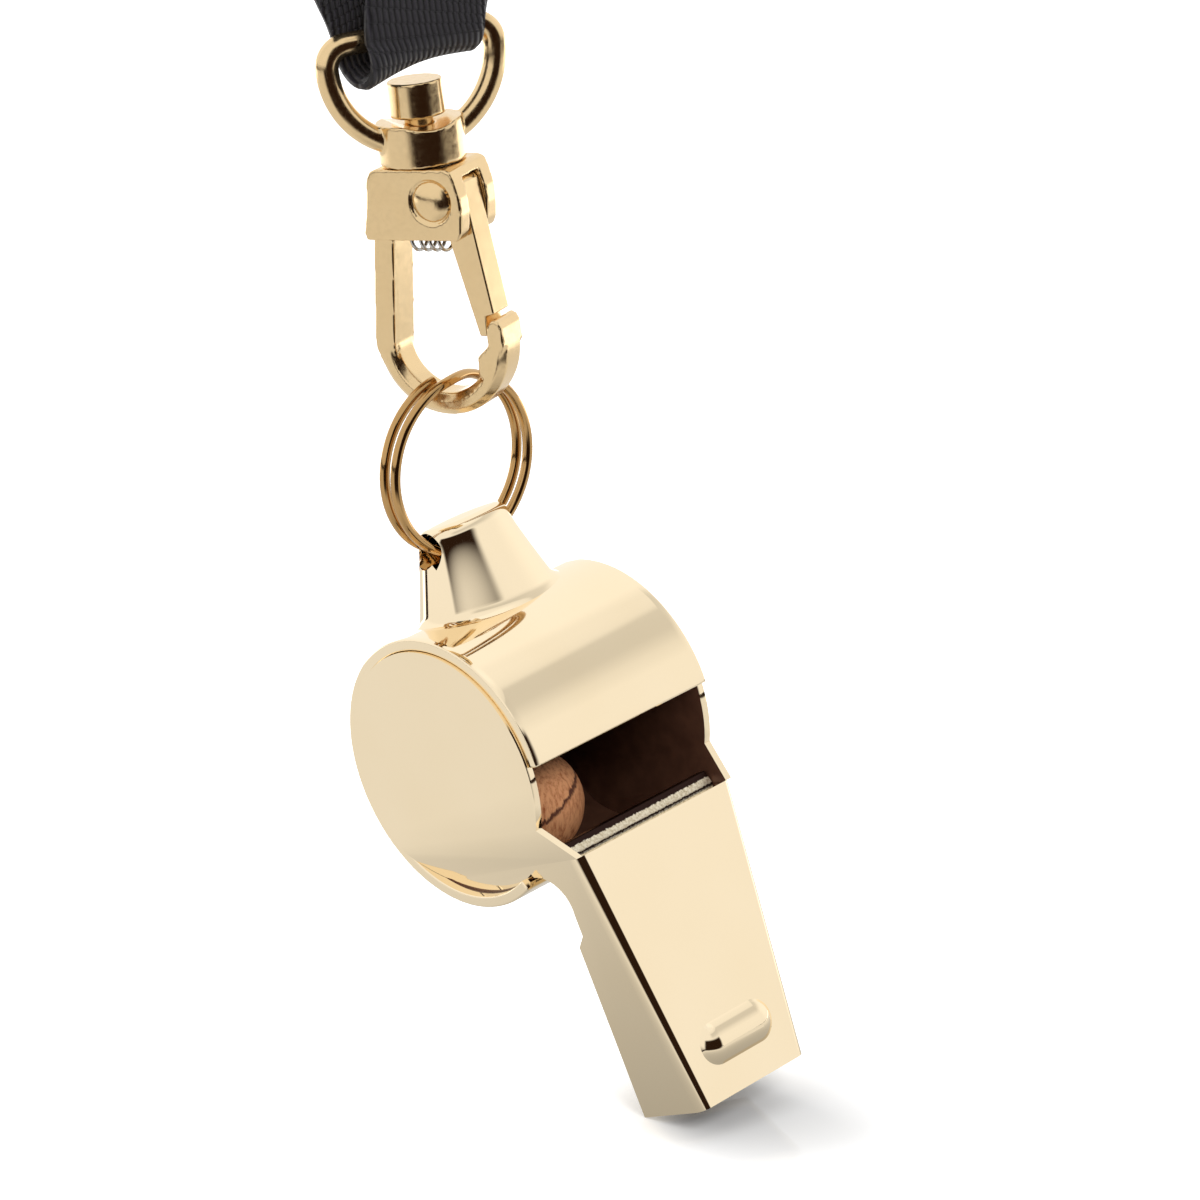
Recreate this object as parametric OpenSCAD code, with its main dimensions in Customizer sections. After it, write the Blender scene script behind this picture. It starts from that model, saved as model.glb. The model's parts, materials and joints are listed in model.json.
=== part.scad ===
// Sports whistle on a swivel snap hook, hanging from a loop of webbing.
// The origin is the inner top of the webbing loop, where it hangs, and +Z is up.

/* [Whistle barrel] */
// Outer radius of the barrel
barrel_r = 11; // [10:0.1:12]
// Width of the barrel over its strip
barrel_w = 18.4; // [17:0.2:20]
// Thickness of the strip that wraps the barrel
strip_t = 0.9; // [0.7:0.1:1.1]
// How far the round cheeks stand out past the strip
cheek_proud = 0.25; // [0.1:0.05:0.4]
// Angle of the lip above the window, from the mouthpiece direction
lip_angle = 86; // [80:1:92]
// Angle at which the strip ends under the neck
strip_end_angle = 24; // [20:1:25]
// Radius of the cork pea
pea_r = 4.4; // [3.5:0.1:4.6]

/* [Mouthpiece] */
// Distance from the barrel's axis to the tip
tip_x = 30.35; // [28:0.05:34]
// Distance from the barrel's axis to the window edge of the top plate
plate_x = 8.43; // [8:0.01:9]
// Height of the top plate above the barrel's axis
plate_z = 10.6; // [10.2:0.1:11]
// Half width of the mouthpiece at the window
window_half_w = 8.41; // [8:0.01:8.6]
// Half width of the mouthpiece at the tip
tip_half_w = 5.74; // [5:0.01:7]
// Height of the mouthpiece at the tip, over the underplate
tip_h = 7.14; // [6.6:0.02:7.6]
// Depth of the neck where it leaves the barrel
neck_h = 3.35; // [3.2:0.05:3.6]
// Thickness of the pressed sheet of the cheeks and the top plate
sheet_t = 0.6; // [0.5:0.05:0.7]
// Outer radius of the folds along the top plate
fold_r = 0.9; // [0.8:0.05:1.2]
// Thickness of the underplate
under_t = 0.9; // [0.6:0.1:1.1]
// Height of the air slot at the window
windway_h = 0.95; // [0.8:0.05:1.1]
// Length of the pressed tooth bump across the top plate
bump_len = 7.6; // [5:0.2:8.4]
// Width of the tooth bump along the top plate
bump_w = 3.4; // [2.6:0.1:4]
// Height of the tooth bump
bump_h = 0.8; // [0.5:0.1:1.1]

/* [Ring lug] */
// Height of the lug's hole above the barrel
lug_h = 5.3; // [5:0.1:5.8]
// Radius of the lug's arched top round the hole
lug_arch_r = 2; // [1.9:0.1:2.4]
// Half length of the lug's top along the barrel
lug_top_half = 3.9; // [3.7:0.05:4.1]
// Half length of the lug's foot along the barrel
lug_foot_half = 6; // [5.4:0.1:7]
// Radius of the lug's foot at its round ends
lug_foot_r = 3.3; // [2.8:0.1:3.8]
// Radius of the hole in each end of the lug
lug_hole_r = 1.2; // [1.2:0.05:1.4]

/* [Split ring] */
// Mean radius of the split ring
ring_r = 6.9; // [6.9:0.1:7.6]
// Diameter of the ring's wire
ring_wire_d = 0.8; // [0.7:0.05:0.85]
// Distance between the ring's two turns, middle to middle
ring_pitch = 1.22; // [1.22:0.01:1.26]

/* [Snap hook] */
// Depth of the hook's housing
housing_d = 5.7; // [5.4:0.1:6.4]
// Width of the housing at its widest
housing_w = 8.6; // [8.4:0.1:9]
// Height of the housing
housing_h = 5.5; // [5.3:0.1:5.8]
// Depth of the shank, bow and nose
shank_d = 3.2; // [3:0.1:3.6]
// Outer radius of the bow
bow_r = 5.6; // [5.5:0.05:5.9]
// Thickness of the bow
bow_t = 1.75; // [1.6:0.05:1.8]
// Height of the bow's centre below the housing's top
bow_z = 14; // [13.8:0.1:14.4]
// Radius of the gate's rivet
rivet_r = 0.8; // [0.6:0.05:0.9]
// Radius of the rivet's domed heads
rivet_head_r = 1.6; // [1.4:0.05:1.7]
// Outer radius of the gate's spring
spring_r = 1.05; // [0.9:0.05:1.1]
// Wire diameter of the gate's spring
spring_wire_d = 0.3; // [0.25:0.01:0.32]

/* [Swivel and D-ring] */
// Radius of the swivel post
post_r = 1.1; // [0.9:0.05:1.2]
// Radius of the post's head
head_r = 2.1; // [1.8:0.05:2.4]
// Height of the post's head
head_h = 2.7; // [2.4:0.1:3]
// Radius of the D-ring's collar
collar_r = 3.3; // [3:0.1:3.6]
// Height of the D-ring's collar
collar_h = 3.2; // [3:0.1:3.3]
// Radius of the D-ring's round wire
loop_wire_r = 0.9; // [0.8:0.05:1]
// Radius of the D-ring's curve, to the middle of its wire
loop_r = 6.7; // [6.5:0.1:7.2]
// Radius of the D-ring's two corners, to the middle of the wire
corner_r = 1.7; // [1.5:0.1:1.8]

/* [Webbing loop] */
// Width of the webbing
web_w = 9.4; // [8:0.1:9.8]
// Thickness of the webbing
web_t = 1; // [0.8:0.05:1.1]
// Radius of the loop's round top, to the middle of the webbing
hang_r = 6.5; // [6:0.1:8]
// Height of the loop's round centre above the D-ring's bar
hang_h = 16.2; // [15:0.1:24]

/* [Pose] */
// Turns of the hook about X, Y and Z, as it hangs from the slanting webbing
hang_tilt = [2.9, -5.5, 18.5];
// Turn of the D-ring about the swivel, seen from the hook
d_ring_turn = 49; // [0:1:180]
// Slope of the whistle, nose down
whistle_pitch = 68.4; // [50:0.2:90]
// Sideways lean of the whistle
whistle_roll = 8.1; // [0:0.1:12]
// Place of the pea round the barrel
pea_angle = 20; // [-40:1:40]

/* [Hidden] */
$fn = 48;

// Overrun of every cut, and reach of the solids that only trim others
over = 1;
reach = 60;
// Gap of soldered and pressed seats, and radial gap of the turning fits
seat_gap = 0.02;
run_gap = 0.05;

// Whistle sizes that follow from the driving ones
disc_r = barrel_r - strip_t - seat_gap;
face_y = barrel_w / 2 + cheek_proud;
kink_angle = 57;
kink_x = disc_r * cos(kink_angle);
taper = atan((window_half_w - tip_half_w) / (tip_x - plate_x));
side_off = (window_half_w + plate_x * tan(taper)) * cos(taper);
throat_r = 2.65;
throat_x = barrel_r + sheet_t + strip_t / 2;
throat_z = plate_z - neck_h - throat_r;
tongue_t = 0.6;
tongue_lap = 1.5;
under_x = throat_x + throat_r;
bevel_run = 1.05;
bevel_rise = 0.55;
weld_back = 6.5;
ramp_back = 2.3;
weld_x = tip_x - weld_back;
ramp_x = tip_x - ramp_back;
ramp_lip = 0.3;
bump_from_tip = 4.2;
pea_play = 0.3;
pea_drop = 0.8;
lug_angle = 176.5;
lug_bore_r = lug_arch_r - 0.4;
lug_end_t = 0.55;
lug_edge = 0.8;
lug_lip = 0.15;
lug_flare = 1.2;
lug_sink = 0.8;

// Hook sizes that follow from the driving ones
slot_w = 2.7;
bridge_t = 0.9;
slot_x = 1.9;
housing_corner = 0.9;
eye_x = 0.3;
shank_edge = 0.55;
bow_mid_r = bow_r - bow_t / 2;
nose_rise = 2.1;
rivet_x = 1.75;
rivet_z = 2.5;
head_dome_h = 0.6;
recess_h = 0.2;
recess_gap = 0.15;
gate_d = slot_w - 4 * run_gap;
gate_w = 1.85;
gate_gap = 0.3;
lip_drop = 1.4;
nose_share = 0.2;
spring_z = housing_h + 0.5;
spring_turns = 4;
ring_gap = 0.65;
ring_play = 0.35;

// Swivel heights above the housing's top
collar_z = 0.1;
neck_gap = 0.3;
loop_sink = 1;
bar_z = collar_z + collar_h - loop_sink + loop_r - loop_wire_r + corner_r;
loop_z = bar_z - corner_r;

// Webbing path
web_clear = 0.3;
fold_rad = loop_wire_r + web_clear + web_t / 2;
web_shift = 0.7;
web_edge = 0.2;
web_sag = 0.2;
web_slant = 4;
hang_z = bar_z + hang_h;
hook_drop = hang_z + hang_r - web_t / 2;
fold_steps = 8;
leg_steps = 14;
arc_steps = 12;

// Turning of points, as rotate() turns solids
function turn_x(a, p) = [p[0], p[1] * cos(a) - p[2] * sin(a), p[1] * sin(a) + p[2] * cos(a)];
function turn_y(a, p) = [p[0] * cos(a) + p[2] * sin(a), p[1], p[2] * cos(a) - p[0] * sin(a)];
function turn_z(a, p) = [p[0] * cos(a) - p[1] * sin(a), p[0] * sin(a) + p[1] * cos(a), p[2]];
function hang_turn(p) = turn_z(hang_tilt[2], turn_y(hang_tilt[1], turn_x(hang_tilt[0], p)));
function whistle_turn(p) = turn_x(whistle_roll, turn_y(whistle_pitch, p));

// Places of the bow's middle, the ring, the lug's hole and the whistle in the part's frame
bow_at = hang_turn([eye_x, 0, -hook_drop - bow_z - bow_mid_r]);
ring_at = bow_at + [0, 0, bow_t / 2 + ring_gap + ring_wire_d / 2 - ring_r];
hole_drop = sqrt(ring_r * ring_r - lug_top_half * lug_top_half) + ring_play;
hole_at = ring_at + hole_drop * [0, sin(whistle_roll), -cos(whistle_roll)];
lug_reach = barrel_r + lug_h;
whistle_at = hole_at - whistle_turn(lug_reach * [cos(lug_angle), 0, sin(lug_angle)]);
echo(bow_at = bow_at, ring_at = ring_at, hole_at = hole_at, whistle_at = whistle_at);

module at_whistle() {
    translate(whistle_at) rotate([whistle_roll, 0, 0]) rotate([0, whistle_pitch, 0]) children();
}

module at_hook() {
    rotate(hang_tilt) translate([0, 0, -hook_drop]) children();
}

module at_d_ring() {
    at_hook() rotate([0, 0, d_ring_turn]) children();
}

// Lays a drawing with X along the mouthpiece and Y up into the whistle's XZ plane
module side_plate(width) {
    rotate([90, 0, 0]) linear_extrude(height = width, center = true) children();
}

// Height of the cheeks' lower edge along the mouthpiece
function keel_z(x) = plate_z - neck_h
    - (tip_h - under_t - neck_h) * (x - throat_x) / (tip_x - throat_x);

// One cheek's outline: the round disc, the neck and the mouthpiece side
module cheek_outline() {
    difference() {
        union() {
            circle(r = disc_r, $fn = 96);
            polygon([
                [0, 0],
                [kink_x, disc_r * sin(kink_angle)],
                [plate_x, plate_z],
                [tip_x, plate_z],
                [tip_x, keel_z(tip_x)],
                [throat_x, keel_z(throat_x)],
                [throat_x - throat_r, throat_z]
            ]);
        }
        translate([throat_x, throat_z]) circle(r = throat_r);
    }
}

// Section across one side of the mouthpiece: flat cheek, round fold and flat top
module fold_section(inset) {
    half = side_off - inset;
    top = plate_z - inset;
    r = fold_r - inset;
    translate([-reach, -reach]) square([reach + half - r, reach + top]);
    translate([-reach, -reach]) square([reach + half, reach + top - r]);
    translate([half - r, top - r]) circle(r = r);
}

module fold_side(inset) {
    rotate([0, 0, -taper]) rotate([90, 0, 90])
        linear_extrude(height = 2 * reach, center = true) fold_section(inset);
}

// The tapering mouthpiece form, drawn in by inset on its sides and top
module taper_form(inset) {
    intersection() {
        fold_side(inset);
        mirror([0, 1, 0]) fold_side(inset);
    }
}

// Plan of one cheek from the disc through the joggle to the window edge
module cheek_plan(side) {
    polygon([
        [-barrel_r, side * face_y],
        [kink_x, side * face_y],
        [plate_x, side * window_half_w],
        [plate_x, side * (window_half_w - sheet_t)],
        [kink_x, side * (face_y - sheet_t)],
        [-barrel_r, side * (face_y - sheet_t)]
    ]);
}

// A pill that stands out of the top plate, drawn in by inset
module bump_form(inset) {
    arc_r = (bump_w * bump_w / 4 + bump_h * bump_h) / (2 * bump_h) - inset;
    span = bump_len - bump_w;
    translate([tip_x - bump_from_tip, 0, plate_z + bump_h - arc_r - inset]) {
        rotate([90, 0, 0]) cylinder(r = arc_r, h = span, center = true);
        for (side = [-1, 1]) translate([0, side * span / 2, 0]) sphere(r = arc_r);
    }
}

module whistle_shell_form() {
    for (side = [-1, 1]) intersection() {
        side_plate(2 * reach) cheek_outline();
        linear_extrude(height = 2 * reach, center = true) cheek_plan(side);
    }
    difference() {
        union() {
            intersection() {
                taper_form(0);
                side_plate(2 * reach) cheek_outline();
                translate([plate_x, -reach, -reach]) cube([reach, 2 * reach, 2 * reach]);
            }
            intersection() {
                bump_form(0);
                translate([0, -reach, plate_z - sheet_t]) cube([reach, 2 * reach, reach]);
            }
        }
        difference() {
            taper_form(sheet_t);
            translate([-reach - over, -reach, plate_z]) cube([reach, 2 * reach, reach]);
        }
        bump_form(sheet_t);
    }
}

module whistle_shell() {
    color("#F0DDB0") at_whistle() whistle_shell_form();
}

module barrel_strip() {
    color("#E7CF9C") at_whistle() rotate([90, 0, 0]) rotate([0, 0, lip_angle])
        rotate_extrude(angle = 360 - lip_angle + strip_end_angle, $fn = 96)
            translate([barrel_r - strip_t, -barrel_w / 2]) square([strip_t, barrel_w]);
}

// Bent sheet that makes the air slot at the window and the ramp to the tip
module windway_floor() {
    top = plate_z - sheet_t - windway_h;
    low = keel_z(throat_x) + tongue_t;
    lap_x = under_x + tongue_lap;
    color("#D8C49A") at_whistle() intersection() {
        taper_form(sheet_t + seat_gap);
        side_plate(2 * reach) polygon([
            [plate_x - bevel_run, low],
            [plate_x - bevel_run, top - bevel_rise],
            [plate_x, top],
            [throat_x, top],
            [ramp_x, keel_z(ramp_x) + ramp_lip],
            [ramp_x, keel_z(ramp_x)],
            [weld_x, keel_z(weld_x)],
            [lap_x, keel_z(lap_x) + tongue_t],
            [throat_x, low]
        ]);
    }
}

// Outline of the tongue that runs from the underplate up round the throat
module tongue_outline() {
    lap_x = under_x + tongue_lap;
    weld_from = under_x + tongue_lap / 2;
    polygon([
        [throat_x - over / 2, keel_z(throat_x)],
        [weld_from, keel_z(weld_from)],
        [weld_from, keel_z(weld_from) - under_t / 2],
        [lap_x, keel_z(lap_x) - under_t / 2],
        [lap_x, keel_z(lap_x) + tongue_t],
        [throat_x - over / 2, keel_z(throat_x) + tongue_t]
    ]);
}

// Plate under the mouthpiece, with a tongue that curves up into the throat
module underplate() {
    color("#D9C38F") at_whistle() {
        intersection() {
            taper_form(0);
            side_plate(2 * reach) polygon([
                [under_x, keel_z(under_x)],
                [tip_x, keel_z(tip_x)],
                [tip_x, keel_z(tip_x) - under_t],
                [under_x + under_t, keel_z(under_x + under_t) - under_t]
            ]);
        }
        intersection() {
            taper_form(sheet_t + seat_gap);
            side_plate(2 * reach) union() {
                intersection() {
                    tongue_outline();
                    translate([throat_x, 0]) square([reach, reach]);
                }
                intersection() {
                    translate([throat_x, throat_z]) difference() {
                        circle(r = throat_r + tongue_t, $fn = 64);
                        circle(r = throat_r, $fn = 64);
                    }
                    translate([throat_x + over / 10 - reach, throat_z]) square([reach, reach]);
                }
            }
        }
    }
}

// The lug's outer form, standing on the barrel with its hole's axis along Y at z = lug_reach
module lug_form() {
    hull() {
        translate([0, 0, lug_reach]) rotate([90, 0, 0]) for (a = [0, 45, 80])
            cylinder(r = lug_arch_r - lug_edge * (1 - cos(a)),
                h = 2 * (lug_top_half - lug_edge * (1 - sin(a))), center = true, $fn = 32);
        for (side = [-1, 1]) translate([0, side * (lug_foot_half - lug_foot_r), barrel_r - lug_sink])
            cylinder(r = lug_foot_r, h = lug_sink / 2, $fn = 32);
    }
}

module ring_lug() {
    color("#E9D4A4") at_whistle() rotate([0, 90 - lug_angle, 0]) difference() {
        lug_form();
        rotate([90, 0, 0]) cylinder(r = barrel_r + seat_gap, h = 2 * reach, center = true, $fn = 96);
        translate([0, 0, lug_reach]) rotate([90, 0, 0]) {
            cylinder(r = lug_hole_r, h = 2 * reach, center = true);
            cylinder(r = lug_bore_r, h = 2 * (lug_top_half - lug_end_t), center = true);
            for (side = [0, 1]) mirror([0, 0, side]) translate([0, 0, lug_top_half - lug_end_t + lug_lip])
                cylinder(r1 = lug_hole_r, r2 = lug_hole_r + lug_flare * 0.6, h = lug_flare);
        }
    }
}

module cork_pea() {
    orbit = disc_r - pea_r - pea_drop;
    color("#B9835A") at_whistle()
        translate([orbit * cos(pea_angle), sheet_t + pea_r + pea_play - face_y, orbit * sin(pea_angle)])
            sphere(r = pea_r);
}

// A closed tube through points, with a ring of sides square to its way at each
function unit(v) = v / norm(v);
function way(pts, i) = unit(pts[min(i + 1, len(pts) - 1)] - pts[max(i - 1, 0)]);
module wire(pts, r, sides, axis) {
    n = len(pts);
    rings = [for (i = [0 : n - 1]) let (w = way(pts, i), a = unit(cross(w, axis)), b = cross(w, a))
        for (j = [0 : sides - 1]) pts[i] + r * (cos(360 * j / sides) * a + sin(360 * j / sides) * b)];
    faces = concat(
        [for (i = [0 : n - 2]) for (j = [0 : sides - 1])
            [i * sides + j, i * sides + (j + 1) % sides, (i + 1) * sides + (j + 1) % sides]],
        [for (i = [0 : n - 2]) for (j = [0 : sides - 1])
            [i * sides + j, (i + 1) * sides + (j + 1) % sides, (i + 1) * sides + j]],
        [for (j = [1 : sides - 2]) [0, j + 1, j]],
        [for (j = [1 : sides - 2]) [(n - 1) * sides, (n - 1) * sides + j, (n - 1) * sides + j + 1]]
    );
    polyhedron(points = rings, faces = faces);
}

// Nearly two turns of wire, stepping over its own start at the end of the first turn
ring_steps = 24;
step_steps = 3;
split_angle = 105;
function ring_rise(i) = max(0, min(1, (i - ring_steps + step_steps) / step_steps));
function ring_shift(i) = ring_pitch * (ease(ring_rise(i)) - 0.5);
ring_pts = [for (i = [0 : 2 * ring_steps - step_steps]) let (b = 360 * i / ring_steps + split_angle)
    [ring_shift(i), ring_r * cos(b), ring_r * sin(b)]];
ring_least = min([for (i = [0 : ring_steps - step_steps]) norm(ring_pts[i] - ring_pts[i + ring_steps])]);
echo(split_ring_least_gap = ring_least - ring_wire_d);

module split_ring() {
    color("#B99A5C") translate(ring_at) wire(ring_pts, ring_wire_d / 2, 6, [1, 0, 0]);
}

// The housing's front outline, in shares of its half width and its height
housing_shares = [[-0.64, 0], [-0.76, -0.04], [-0.83, -0.16], [-0.9, -0.58], [-0.99, -0.9], [-0.96, -1],
    [0.88, -1], [0.95, -0.9], [1, -0.62], [0.99, -0.4], [0.92, -0.16], [0.86, -0.04], [0.74, 0]];
module housing_outline() {
    polygon([for (p = housing_shares) [p[0] * housing_w / 2, p[1] * housing_h]]);
}

// Section of the shank and bow, with its edges taken off
module shank_section() {
    half = shank_d / 2;
    polygon([
        [0, shank_edge - half], [shank_edge, -half], [bow_t - shank_edge, -half],
        [bow_t, shank_edge - half], [bow_t, half - shank_edge], [bow_t - shank_edge, half],
        [shank_edge, half], [0, half - shank_edge]
    ]);
}

module hook_frame() {
    lean = atan((bow_r - eye_x - housing_w / 2) / (bow_z - housing_h));
    bow_in = bow_r - bow_t;
    rise_z = nose_rise - bow_z;
    color("#D9BC85") at_hook() {
        difference() {
            side_plate(housing_d) housing_outline();
            translate([-slot_x, -slot_w / 2, -housing_h - over])
                cube([reach, slot_w, housing_h + over - bridge_t]);
            translate([rivet_x, 0, -rivet_z]) rotate([90, 0, 0])
                cylinder(r = rivet_r + seat_gap, h = 2 * reach, center = true);
            for (side = [-1, 1]) translate([rivet_x, side * housing_d / 2, -rivet_z]) rotate([90, 0, 0])
                cylinder(r = rivet_head_r + recess_gap, h = 2 * recess_h, center = true);
            translate([0, 0, -2 * bridge_t]) cylinder(r = post_r + seat_gap, h = 2 * bridge_t + over);
        }
        translate([eye_x, 0, -bow_z]) rotate([90, 0, 0]) rotate([0, 0, 180])
            rotate_extrude(angle = 180, $fn = 64) translate([bow_in, 0]) shank_section();
        translate([eye_x - bow_r, 0, -bow_z]) rotate([0, lean, 0])
            linear_extrude(height = bow_z - housing_h + housing_corner) shank_section();
        side_plate(shank_d) polygon([
            [eye_x + bow_r, -bow_z],
            [eye_x + bow_r - 0.05 * bow_t, rise_z - 0.35 * bow_t],
            [eye_x + bow_r - 0.2 * bow_t, rise_z - 0.1 * bow_t],
            [eye_x + bow_r - 0.45 * bow_t, rise_z],
            [eye_x + bow_in + nose_share * bow_t, rise_z - 0.4 * bow_t],
            [eye_x + bow_in + nose_share * bow_t, -bow_z],
            [eye_x + bow_in * 0.84, -bow_z - bow_in * 0.21],
            [eye_x + bow_in * 0.8, -bow_z - bow_in * 0.6],
            [eye_x + bow_mid_r * 0.8, -bow_z - bow_mid_r * 0.6]
        ]);
    }
}

// The gate's outline: its eye at the rivet, its outer face, and the lip behind the nose
module gate_outline() {
    nose_in = eye_x + bow_r - bow_t + nose_share * bow_t;
    nose_z = nose_rise - bow_z;
    translate([rivet_x, -rivet_z]) circle(r = rivet_z - bridge_t - 2 * run_gap);
    polygon([
        [rivet_x + gate_w * 0.8, -bridge_t - 2 * run_gap],
        [nose_in + gate_w * 0.35, nose_z + gate_gap],
        [nose_in - 2 * run_gap, nose_z + gate_gap / 2],
        [nose_in - 2 * run_gap, nose_z - lip_drop],
        [nose_in - gate_w * 0.4, nose_z - lip_drop],
        [nose_in - gate_w * 0.75, nose_z + lip_drop],
        [rivet_x, -rivet_z - gate_w],
        [rivet_x - gate_w * 0.7, -rivet_z]
    ]);
}

module hook_gate() {
    blade_z = housing_h + gate_gap;
    color("#E0C890") at_hook() difference() {
        union() {
            side_plate(gate_d) gate_outline();
            side_plate(shank_d - 4 * run_gap) intersection() {
                gate_outline();
                translate([-reach, -blade_z - reach]) square([2 * reach, reach]);
            }
        }
        translate([rivet_x, 0, -rivet_z]) rotate([90, 0, 0])
            cylinder(r = rivet_r + run_gap, h = 2 * reach, center = true);
    }
}

module gate_rivet() {
    dome_r = (rivet_head_r * rivet_head_r + head_dome_h * head_dome_h) / (2 * head_dome_h);
    seat = housing_d / 2 - recess_h + seat_gap;
    color("#E6CF9A") at_hook() translate([rivet_x, 0, -rivet_z]) rotate([90, 0, 0]) {
        cylinder(r = rivet_r, h = 2 * seat, center = true);
        for (side = [0, 1]) mirror([0, 0, side]) intersection() {
            translate([0, 0, seat + head_dome_h - dome_r]) sphere(r = dome_r);
            translate([0, 0, seat - seat_gap]) cylinder(r = reach, h = reach);
        }
    }
}

// The gate's spring lies across the housing's foot, between its back wall and the gate
spring_from = seat_gap - slot_x;
spring_len = 3.4;
spring_steps = 8;
coil_r = spring_r - spring_wire_d / 2;
spring_pts = [for (i = [0 : spring_turns * spring_steps]) let (a = 360 * i / spring_steps)
    [spring_from + spring_wire_d / 2 + (spring_len - spring_wire_d) * i / (spring_turns * spring_steps),
     coil_r * cos(a), coil_r * sin(a) - spring_z]];
spring_least = min([for (i = [0 : (spring_turns - 1) * spring_steps])
    norm(spring_pts[i] - spring_pts[i + spring_steps])]);
echo(gate_spring_least_gap = spring_least - spring_wire_d);

module gate_spring() {
    color("silver") at_hook() wire(spring_pts, spring_wire_d / 2, 6, [1, 0, 0]);
}

module swivel_post() {
    head_z = collar_z + collar_h + neck_gap;
    color("#E3CC97") at_hook() {
        translate([0, 0, -bridge_t]) cylinder(r = post_r, h = bridge_t + head_z + over / 2);
        translate([0, 0, head_z]) cylinder(r = head_r, h = head_h);
    }
}

// Collar and D-shaped loop, cast in one piece
module d_ring() {
    color("#D8BC84") at_d_ring() difference() {
        union() {
            translate([0, 0, collar_z]) cylinder(r = collar_r, h = collar_h);
            translate([0, 0, loop_z]) rotate([90, 0, 0]) rotate([0, 0, 180])
                rotate_extrude(angle = 180, $fn = 96) translate([loop_r, 0]) circle(r = loop_wire_r);
            for (side = [0, 1]) mirror([side, 0, 0])
                translate([loop_r - corner_r, 0, loop_z]) rotate([90, 0, 0])
                    rotate_extrude(angle = 90) translate([corner_r, 0]) circle(r = loop_wire_r);
            translate([0, 0, bar_z]) rotate([0, 90, 0])
                cylinder(r = loop_wire_r, h = 2 * (loop_r - corner_r), center = true);
        }
        cylinder(r = post_r + run_gap, h = collar_z + collar_h + over);
    }
}

// Cubic curve through the legs of the webbing
function bezier(a, b, c, d, t) = (1 - t) * (1 - t) * (1 - t) * a + 3 * (1 - t) * (1 - t) * t * b
    + 3 * (1 - t) * t * t * c + t * t * t * d;
function ease(t) = t * t * (3 - 2 * t);

// Stations of the webbing's middle, each with the turn of its width about the vertical
back_foot = [-web_shift, fold_rad, bar_z];
front_foot = [web_shift, -fold_rad, bar_z];
back_top = [-hang_r, 0, hang_z];
front_top = [hang_r, 0, hang_z];
foot_rise = hang_h * 0.4;
top_fall = hang_h * 0.35;
lean_share = 0.1;
function leg_point(foot, top, t) = bezier(foot, foot + [lean_share * top[0], 0, foot_rise],
    top - [0, 0, top_fall], top, t);
fold_part = [for (i = [0 : fold_steps]) let (a = 180 * i / fold_steps)
    [web_shift * cos(a), -fold_rad * cos(a), bar_z - (fold_rad + web_sag) * sin(a), 0]];
back_part = [for (i = [1 : leg_steps]) let (t = i / leg_steps, p = leg_point(back_foot, back_top, t))
    [p[0], p[1], p[2], 90 * ease(max(0, 1.25 * t - 0.25))]];
arc_part = [for (i = [1 : arc_steps]) let (a = 180 - 180 * i / arc_steps)
    [hang_r * cos(a), 0, hang_z + hang_r * sin(a), 90]];
front_part = [for (i = [1 : leg_steps - 1])
    let (t = 1 - i / leg_steps, p = leg_point(front_foot, front_top, t))
    [p[0], p[1], p[2], 90 * ease(max(0, 1.25 * t - 0.25))]];
web_path = concat(fold_part, back_part, arc_part, front_part);
function web_at(i) = let (s = web_path[(i + len(web_path)) % len(web_path)]) [s[0], s[1], s[2]];

module webbing_loop() {
    n = len(web_path);
    half = web_w / 2;
    thick = web_t / 2;
    section = [[half - web_edge, thick], [half, thick - web_edge], [half, web_edge - thick],
        [half - web_edge, -thick], [web_edge - half, -thick], [-half, web_edge - thick],
        [-half, thick - web_edge], [web_edge - half, thick]];
    m = len(section);
    rings = [for (i = [0 : n - 1])
        let (w = unit(web_at(i + 1) - web_at(i - 1)), a = web_path[i][3],
            flat = [cos(a), sin(a), tan(web_slant)], side = unit(flat - (flat * w) * w), out = cross(w, side))
        for (s = section) web_at(i) + s[0] * side + s[1] * out];
    faces = [for (i = [0 : n - 1]) for (j = [0 : m - 1]) for (half_face = [0, 1])
        let (k = (i + 1) % n, l = (j + 1) % m)
        half_face == 0 ? [i * m + j, i * m + l, k * m + l] : [i * m + j, k * m + l, k * m + j]];
    color("#24212A") at_d_ring() polyhedron(points = rings, faces = faces);
}

whistle_shell();
barrel_strip();
windway_floor();
underplate();
ring_lug();
cork_pea();
split_ring();
hook_frame();
hook_gate();
gate_rivet();
gate_spring();
swivel_post();
d_ring();
webbing_loop();
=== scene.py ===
import bpy
import json
import math
from mathutils import Matrix, Vector


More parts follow.
